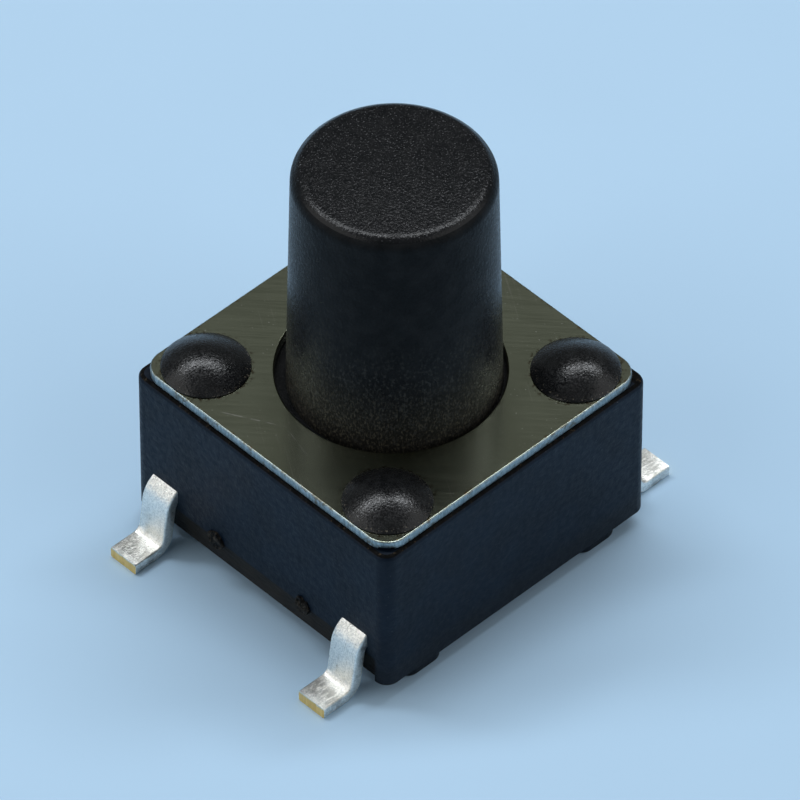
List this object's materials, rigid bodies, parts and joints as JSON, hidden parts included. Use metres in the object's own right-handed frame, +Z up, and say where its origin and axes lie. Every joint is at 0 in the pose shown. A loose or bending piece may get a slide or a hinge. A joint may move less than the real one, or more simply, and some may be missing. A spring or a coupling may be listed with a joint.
{
  "type": "tactile push button switch",
  "caption": "Square surface-mount tactile switch with a tall round black button, a riveted steel cover and gull-wing leads, closing a circuit while pressed.",
  "frame": {"origin": "solder plane, under the middle of the base", "axes": "+Z up along the button's travel, leads leave the base along X"},
  "size_m": [0.008, 0.006, 0.0081],
  "materials": {
    "base_plastic": "satin moulded, fine spark texture",
    "button_plastic": "matt moulded, grainy top",
    "cover_steel": "satin rolled sheet with bright cut edges",
    "dome_steel": "bright rolled spring sheet",
    "lead_tin": "brass strip with bright tin plating"
  },
  "bodies": {
    "housing": {"base": "base_plastic", "cover_plate": "cover_steel", "snap_dome": "dome_steel", "center_terminal": "lead_tin", "outer_terminal": "lead_tin"},
    "button": {"plunger": "button_plastic"}
  },
  "joints": [
    {"name": "button_press", "type": "slide", "parent": "housing", "child": "button", "axis": [0, 0, -1], "range_m": [0, 0.00025], "stiffness_N_per_m": 6400, "deforming": ["snap_dome"]}
  ]
}
